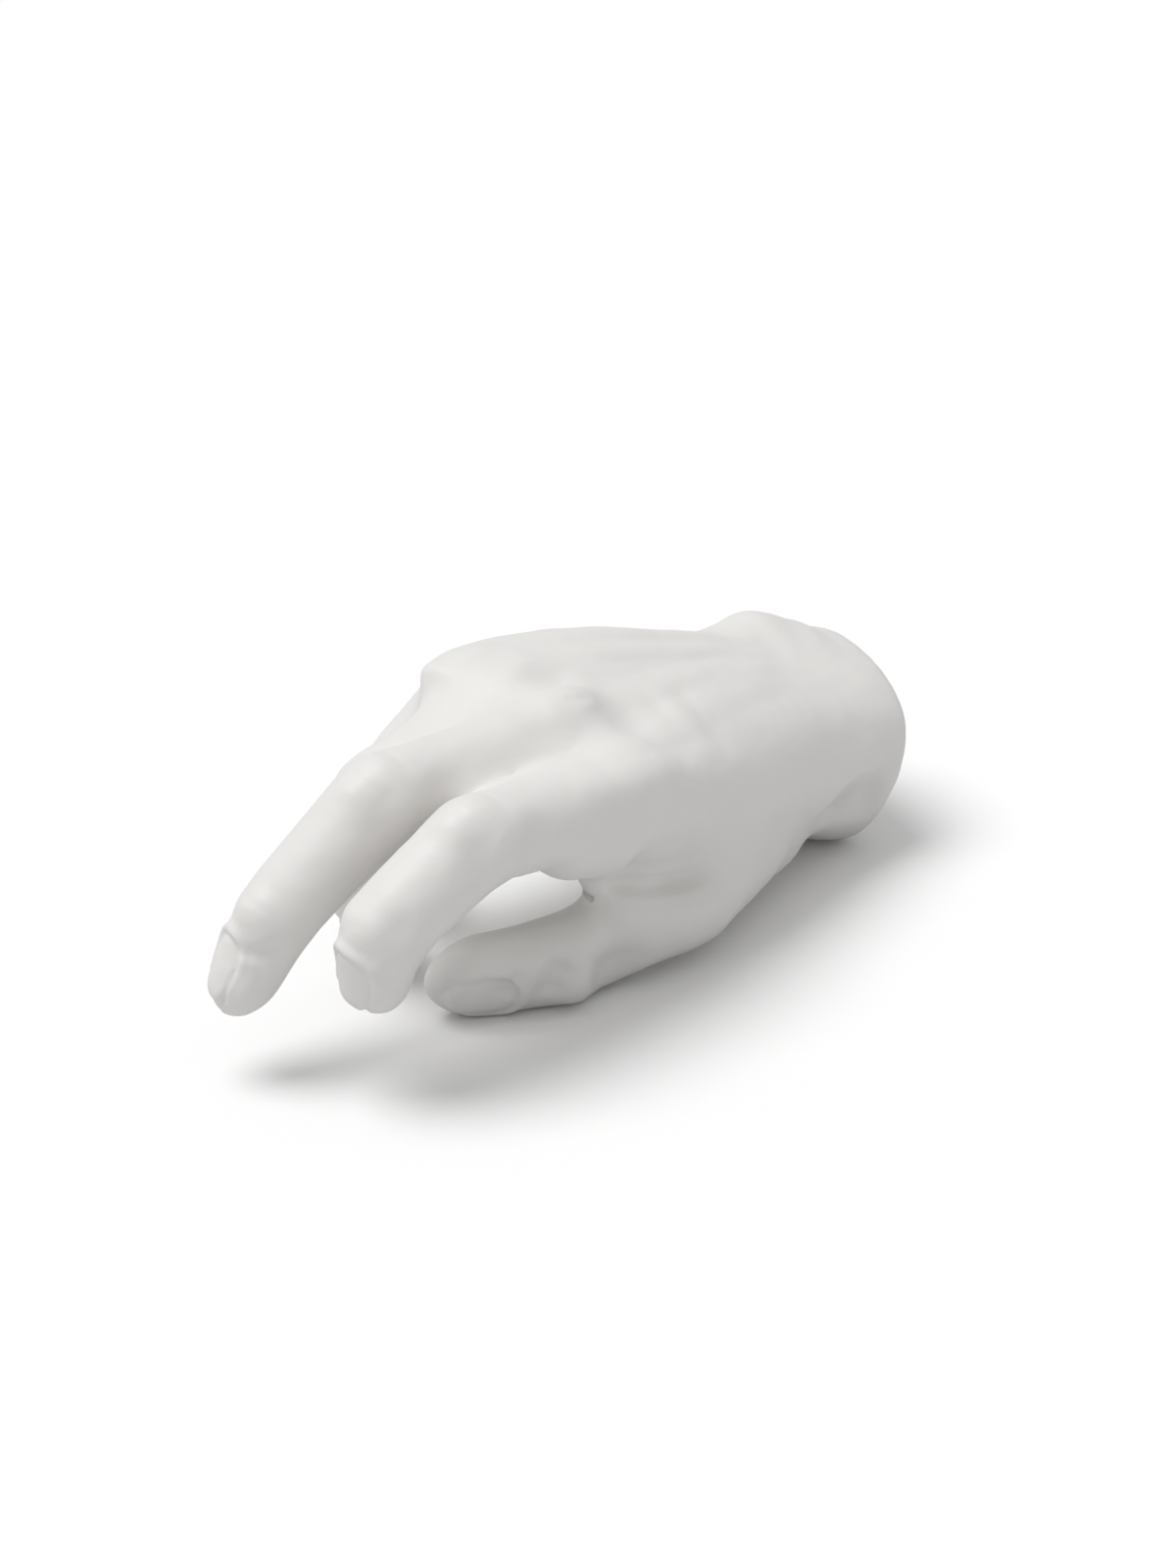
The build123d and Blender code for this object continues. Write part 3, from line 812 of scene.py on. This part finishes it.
def model_details(modeller):
    """Nails, creases, wrinkles, a vein and the vent."""
    for finger in FINGERS:
        modeller.nail(finger.name)
        for mark, stroke in FINGER_LINES:
            modeller.wrap(finger.name, mark, stroke)
    modeller.nail("thumb")
    for stroke in FINE_STROKES:
        modeller.draw(stroke)
    for stroke in PALM_LINES:
        modeller.draw_palm(stroke)
    open_vent(modeller.skin)


def open_vent(skin):
    """Sinks the vent into the wrist's end plate."""
    middle, out, _ = joint_plane("wrist_slip_joint", "wrist_end_plate")
    off = skin.points - middle
    ahead = off @ out
    gap = np.linalg.norm(off - ahead[:, None] * out, axis=1)
    depth = VENT_DEPTH * ease((VENT_RADIUS + VENT_EDGE / 2 - gap) / VENT_EDGE) * (ahead > 0)
    skin.points -= depth[:, None] * out


def add_node(tree, kind, **values):
    """A shader node with some of its inputs and settings."""
    node = tree.nodes.new(kind)
    for name, value in values.items():
        if name in node.inputs:
            node.inputs[name].default_value = value
        else:
            setattr(node, name, value)
    return node


def fired_body():
    """A node group for bare fired porcelain: its mottled colour with shade painted into its hollows, its
    roughness and its grain as a height.
    """
    group = bpy.data.node_groups.new("fired_body", "ShaderNodeTree")
    # The Hollow input is the colour of the painted shade in the hollows
    for name in ("Body", "Hollow"):
        group.interface.new_socket(name, in_out="INPUT", socket_type="NodeSocketColor")
    group.interface.new_socket("Colour", in_out="OUTPUT", socket_type="NodeSocketColor")
    group.interface.new_socket("Roughness", in_out="OUTPUT", socket_type="NodeSocketFloat")
    group.interface.new_socket("Height", in_out="OUTPUT", socket_type="NodeSocketFloat")
    given = group.nodes.new("NodeGroupInput")
    put_out = group.nodes.new("NodeGroupOutput")
    place = group.nodes.new("ShaderNodeTexCoord")
    grain = add_node(group, "ShaderNodeTexNoise", Scale=GRAIN_SCALE, Detail=GRAIN_DETAIL)
    mottle = add_node(group, "ShaderNodeTexNoise", Scale=MOTTLE_SCALE, Detail=MOTTLE_DETAIL)
    for texture in (grain, mottle):
        group.links.new(place.outputs["Object"], texture.inputs["Vector"])
    # Painted shade: the body colour is mixed towards the darker hollow colour where the skin lies in a
    # hollow
    painted_shade_mask = add_node(group, "ShaderNodeAttribute", attribute_name="hollow")
    painted_shade_mix = add_node(group, "ShaderNodeMix", data_type="RGBA")
    group.links.new(painted_shade_mask.outputs["Fac"], painted_shade_mix.inputs["Factor"])
    group.links.new(given.outputs["Body"], painted_shade_mix.inputs["A"])
    group.links.new(given.outputs["Hollow"], painted_shade_mix.inputs["B"])
    shade = add_node(group, "ShaderNodeMapRange", **MOTTLE_RANGE)
    group.links.new(mottle.outputs["Fac"], shade.inputs["Value"])
    mottled = add_node(group, "ShaderNodeMix", data_type="RGBA", blend_type="MULTIPLY", Factor=1.0)
    group.links.new(painted_shade_mix.outputs["Result"], mottled.inputs["A"])
    group.links.new(shade.outputs["Result"], mottled.inputs["B"])
    matt = add_node(group, "ShaderNodeMapRange", **ROUGHNESS_RANGE)
    group.links.new(grain.outputs["Fac"], matt.inputs["Value"])
    group.links.new(mottled.outputs["Result"], put_out.inputs["Colour"])
    group.links.new(matt.outputs["Result"], put_out.inputs["Roughness"])
    group.links.new(grain.outputs["Fac"], put_out.inputs["Height"])
    return group


def skin_material(settings):
    """Matt unglazed porcelain, with shade painted into its hollows."""
    material = bpy.data.materials.new("bisque_porcelain")
    material.use_nodes = True
    tree = material.node_tree
    shader = tree.nodes["Principled BSDF"]
    body = tree.nodes.new("ShaderNodeGroup")
    body.node_tree = fired_body()
    body.inputs["Body"].default_value = (*settings.colour, 1)
    # Painted shade: the darker colour for the hollows
    body.inputs["Hollow"].default_value = (*settings.hollow_colour, 1)
    bump = add_node(tree, "ShaderNodeBump", Strength=settings.grain_strength, Distance=GRAIN_DEPTH)
    tree.links.new(body.outputs["Height"], bump.inputs["Height"])
    tree.links.new(body.outputs["Colour"], shader.inputs["Base Color"])
    tree.links.new(body.outputs["Roughness"], shader.inputs["Roughness"])
    tree.links.new(bump.outputs["Normal"], shader.inputs["Normal"])


def cut_at_joints(bm, joints):
    """Cuts edges into the skin where the luting joints cross it."""
    for middle, normal, reach in joints.values():
        at = Vector(middle * MM)
        near = [f for f in bm.faces if (f.calc_center_median() - at).length < (reach + JOINT_ROOM) * MM]
        edges = dict.fromkeys(e for f in near for e in f.edges)
        verts = dict.fromkeys(v for f in near for v in f.verts)
        bmesh.ops.bisect_plane(bm, geom=[*verts, *edges, *near], dist=WELD, plane_co=at,
                               plane_no=Vector(normal))


def owners(bm, joints):
    """The name of the cast piece that each face of the skin belongs to."""
    points, polygons, names = [], [], []
    for name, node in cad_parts.items():
        piece = name.replace("_slip_joint", "").replace("_shell", "").replace("_end_plate", "")
        first = len(points)
        points += [v.co for v in node.data.vertices]
        polygons += [[first + i for i in p.vertices] for p in node.data.polygons]
        names += [piece] * len(node.data.polygons)
    tree = BVHTree.FromPolygons(points, polygons)
    found = {}
    for face in bm.faces:
        at = face.calc_center_median()
        owner = names[tree.find_nearest(at)[2]]
        place = np.array(at) / MM
        for name, (middle, normal, reach) in joints.items():
            off = place - middle
            near = off @ off < (reach + JOINT_ROOM) ** 2 and abs(off @ normal) < JOINT_DEPTH
            if near and owner in (name, "palm"):
                owner = name if off @ normal > 0 else "palm"
                break
        found[face] = owner
    return found


def cut_piece(skin, name):
    """A closed copy of one piece of the skin."""
    piece = bmesh.new()
    piece.from_mesh(skin)
    noted = piece.faces.layers.int["piece"]
    others = [face for face in piece.faces if face[noted] != PIECES.index(name)]
    bmesh.ops.delete(piece, geom=others, context="FACES")
    for face in piece.faces:
        face.smooth = True
    rims = [e for e in piece.edges if e.is_boundary]
    for edge in rims:
        edge.smooth = False
    caps = bmesh.ops.holes_fill(piece, edges=rims, sides=0)["faces"]
    for face in bmesh.ops.poke(piece, faces=caps)["faces"]:
        face.smooth = False
    bmesh.ops.recalc_face_normals(piece, faces=piece.faces)
    mesh = bpy.data.meshes.new(name)
    piece.to_mesh(mesh)
    piece.free()
    return mesh


def mark_pieces(skin):
    """Cuts the skin's edges at the luting joints and notes on each face which cast piece it belongs to."""
    joints = {name: joint_plane(f"{name}_slip_joint", f"{name}_shell") for name in DIGITS}
    joints["wrist"] = joint_plane("wrist_slip_joint", "wrist_end_plate")
    bm = bmesh.new()
    bm.from_mesh(skin.data)
    cut_at_joints(bm, joints)
    piece = bm.faces.layers.int.new("piece")
    for face, name in owners(bm, joints).items():
        face[piece] = PIECES.index(name)
    bm.to_mesh(skin.data)
    bm.free()


def cut_out(name, nodes):
    """Makes one piece of the skin an object that stands for its cast nodes."""
    mesh = cut_piece(bpy.data.objects["hand_skin"].data, name)
    mesh.materials.append(bpy.data.materials["bisque_porcelain"])
    piece = bpy.data.objects.new(f"{name}_skin", mesh)
    bpy.context.scene.collection.objects.link(piece)
    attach(piece, "root")
    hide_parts(*nodes)


class HAND_OT_cut_palm(bpy.types.Operator):
    """Cuts the palm with the wrist out of the skin"""

    bl_idname = "porcelain_hand.cut_palm"
    bl_label = "Cut the palm"

    def execute(self, context):
        cut_out("palm", ["palm_shell"])
        return {"FINISHED"}


class HAND_OT_cut_digits(bpy.types.Operator):
    """Cuts the thumb and the four fingers out of the skin"""

    bl_idname = "porcelain_hand.cut_digits"
    bl_label = "Cut the digits"

    def execute(self, context):
        for name in DIGITS:
            cut_out(name, [f"{name}_shell", f"{name}_slip_joint"])
        return {"FINISHED"}


class HAND_OT_cut_wrist_end(bpy.types.Operator):
    """Cuts the end plate of the wrist out of the skin"""

    bl_idname = "porcelain_hand.cut_wrist_end"
    bl_label = "Cut the wrist's end"

    def execute(self, context):
        cut_out("wrist", ["wrist_end_plate", "wrist_slip_joint"])
        return {"FINISHED"}


class HAND_OT_set_stage(bpy.types.Operator):
    """Sets the floor, the lamps and the camera"""

    bl_idname = "porcelain_hand.set_stage"
    bl_label = "Set the stage"

    def execute(self, context):
        settings = context.scene.hand_stage
        add_floor(settings)
        add_lamps(settings)
        add_camera()
        context.scene.view_settings.view_transform = "Standard"
        return {"FINISHED"}


def add_floor(settings):
    """A wide pale floor."""
    bm = bmesh.new()
    bmesh.ops.create_grid(bm, x_segments=1, y_segments=1, size=FLOOR_HALF)
    mesh = bpy.data.meshes.new("floor")
    bm.to_mesh(mesh)
    bm.free()
    floor = bpy.data.objects.new("floor", mesh)
    bpy.context.scene.collection.objects.link(floor)
    material = bpy.data.materials.new("floor_paint")
    material.use_nodes = True
    tree = material.node_tree
    shader = tree.nodes["Principled BSDF"]
    shader.inputs["Roughness"].default_value = FLOOR_ROUGHNESS
    shader.inputs["Specular IOR Level"].default_value = FLOOR_SHINE
    ray = tree.nodes.new("ShaderNodeLightPath")
    seen = add_node(tree, "ShaderNodeMix", data_type="RGBA")
    seen.inputs["A"].default_value = (*settings.bounce_colour, 1)
    seen.inputs["B"].default_value = (*settings.floor_colour, 1)
    tree.links.new(ray.outputs["Is Camera Ray"], seen.inputs["Factor"])
    tree.links.new(seen.outputs["Result"], shader.inputs["Base Color"])
    mesh.materials.append(material)


def add_lamps(settings):
    """A large soft lamp high over the hand, and pale light from all round."""
    lamp = bpy.data.lights.new("key", "SUN")
    lamp.energy = settings.key_strength
    lamp.angle = settings.key_softness
    key = bpy.data.objects.new("key", lamp)
    key.rotation_mode = "QUATERNION"
    key.rotation_quaternion = (-Vector(KEY_FROM)).to_track_quat("-Z", "Y")
    bpy.context.scene.collection.objects.link(key)
    world = bpy.data.worlds.new("studio")
    world.use_nodes = True
    background = world.node_tree.nodes["Background"]
    background.inputs["Color"].default_value = (1, 1, 1, 1)
    background.inputs["Strength"].default_value = settings.world_strength
    bpy.context.scene.world = world


def add_camera():
    """The camera at the picture's angle."""
    place, right, up, back = camera_axes()
    data = bpy.data.cameras.new("camera")
    data.lens = CAMERA_LENS
    data.sensor_width = SENSOR
    data.clip_start = NEAREST
    data.clip_end = FARTHEST
    camera = bpy.data.objects.new("camera", data)
    turn = Matrix((right, up, back)).transposed().to_4x4()
    camera.matrix_world = Matrix.Translation(Vector(place) * MM) @ turn
    bpy.context.scene.collection.objects.link(camera)
    bpy.context.scene.camera = camera


class HAND_PT_panel(bpy.types.Panel):
    """The hand's operators and settings"""

    bl_label = "Porcelain Hand"
    bl_space_type = "VIEW_3D"
    bl_region_type = "UI"
    bl_category = "Hand"

    def draw(self, context):
        for operator in OPERATORS:
            self.layout.operator(operator.bl_idname)
        for name in SETTINGS:
            group = getattr(context.scene, name)
            for prop in group.bl_rna.properties:
                if not prop.is_readonly and prop.identifier != "name":
                    self.layout.prop(group, prop.identifier)


OPERATORS = (HAND_OT_model_skin, HAND_OT_cut_palm, HAND_OT_cut_digits, HAND_OT_cut_wrist_end,
             HAND_OT_set_stage)
SETTINGS = {"hand_skin": SkinSettings, "hand_porcelain": PorcelainSettings, "hand_stage": StageSettings}
CLASSES = (*SETTINGS.values(), *OPERATORS, HAND_PT_panel)


def register():
    for cls in CLASSES:
        bpy.utils.register_class(cls)
    for name, group in SETTINGS.items():
        setattr(bpy.types.Scene, name, PointerProperty(type=group))


def unregister():
    for name in SETTINGS:
        delattr(bpy.types.Scene, name)
    for cls in reversed(CLASSES):
        bpy.utils.unregister_class(cls)


def main():
    register()
    bpy.ops.porcelain_hand.model_skin()
    bpy.ops.porcelain_hand.cut_palm()
    bpy.ops.porcelain_hand.cut_digits()
    bpy.ops.porcelain_hand.cut_wrist_end()
    bpy.data.objects.remove(bpy.data.objects["hand_skin"])
    bpy.ops.porcelain_hand.set_stage()


if __name__ == "__main__":
    main()
